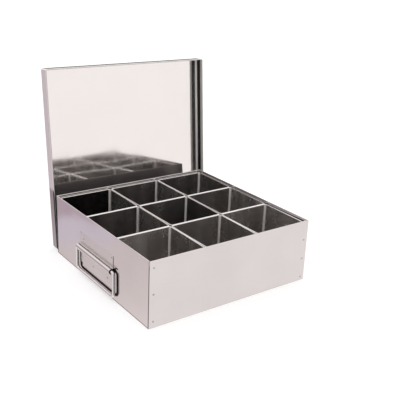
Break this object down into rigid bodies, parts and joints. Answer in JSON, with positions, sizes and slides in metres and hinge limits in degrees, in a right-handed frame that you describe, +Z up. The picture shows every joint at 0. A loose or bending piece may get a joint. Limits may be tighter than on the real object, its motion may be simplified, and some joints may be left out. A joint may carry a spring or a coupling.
{
  "type": "square spice box",
  "caption": "Square stainless-steel spice box (masala dabba) with lift-out square cups, a lift-off pan lid standing behind it and a drop handle on each side.",
  "frame": {"origin": "centre of the box's underside, on the surface it stands on", "axes": "+X right, +Y to the rear, where the lid stands, +Z up"},
  "size_m": [0.3252, 0.3551, 0.3144],
  "materials": {
    "box_sheet": "satin, polished enough to reflect softly, light scuffs",
    "cup_sheet": "satin inside with bright polished rims",
    "lid_sheet": "near-mirror inside, satin outside",
    "bracket_sheet": "satin",
    "bail_rod": "polished steel rod",
    "weld_mark": "dull spot-weld marks"
  },
  "bodies": {
    "box": {"wrap_sheet": "box_sheet", "left_side_panel": "box_sheet", "right_side_panel": "box_sheet", "front_left_welds": "weld_mark", "front_right_welds": "weld_mark", "rear_left_welds": "weld_mark", "rear_right_welds": "weld_mark", "left_bracket_welds": "weld_mark", "right_bracket_welds": "weld_mark", "left_handle_bracket": "bracket_sheet", "right_handle_bracket": "bracket_sheet"},
    "lid": {"lid": "lid_sheet"},
    "left_bail": {"left_bail": "bail_rod"},
    "right_bail": {"right_bail": "bail_rod"},
    "cup_front_left": {"cup_front_left": "cup_sheet"},
    "cup_front_centre": {"cup_front_centre": "cup_sheet"},
    "cup_front_right": {"cup_front_right": "cup_sheet"},
    "cup_middle_left": {"cup_middle_left": "cup_sheet"},
    "cup_middle_centre": {"cup_middle_centre": "cup_sheet"},
    "cup_middle_right": {"cup_middle_right": "cup_sheet"},
    "cup_rear_left": {"cup_rear_left": "cup_sheet"},
    "cup_rear_centre": {"cup_rear_centre": "cup_sheet"},
    "cup_rear_right": {"cup_rear_right": "cup_sheet"}
  },
  "joints": [
    {"name": "lid_lift", "type": "slide", "parent": "box", "child": "lid", "axis": [0, 0, 1], "range_m": [0, 0.12]},
    {"name": "left_bail_swing", "type": "hinge", "parent": "box", "child": "left_bail", "pos_m": [-0.1538, 0.005, 0.0485], "axis": [0, 1, 0], "range_deg": [0, 180]},
    {"name": "right_bail_swing", "type": "hinge", "parent": "box", "child": "right_bail", "pos_m": [0.1538, 0.005, 0.0485], "axis": [0, -1, 0], "range_deg": [0, 180]},
    {"name": "cup_front_left_lift", "type": "slide", "parent": "box", "child": "cup_front_left", "axis": [0, 0, 1], "range_m": [0, 0.115]},
    {"name": "cup_front_centre_lift", "type": "slide", "parent": "box", "child": "cup_front_centre", "axis": [0, 0, 1], "range_m": [0, 0.115]},
    {"name": "cup_front_right_lift", "type": "slide", "parent": "box", "child": "cup_front_right", "axis": [0, 0, 1], "range_m": [0, 0.115]},
    {"name": "cup_middle_left_lift", "type": "slide", "parent": "box", "child": "cup_middle_left", "axis": [0, 0, 1], "range_m": [0, 0.115]},
    {"name": "cup_middle_centre_lift", "type": "slide", "parent": "box", "child": "cup_middle_centre", "axis": [0, 0, 1], "range_m": [0, 0.115]},
    {"name": "cup_middle_right_lift", "type": "slide", "parent": "box", "child": "cup_middle_right", "axis": [0, 0, 1], "range_m": [0, 0.115]},
    {"name": "cup_rear_left_lift", "type": "slide", "parent": "box", "child": "cup_rear_left", "axis": [0, 0, 1], "range_m": [0, 0.115]},
    {"name": "cup_rear_centre_lift", "type": "slide", "parent": "box", "child": "cup_rear_centre", "axis": [0, 0, 1], "range_m": [0, 0.115]},
    {"name": "cup_rear_right_lift", "type": "slide", "parent": "box", "child": "cup_rear_right", "axis": [0, 0, 1], "range_m": [0, 0.115]}
  ]
}
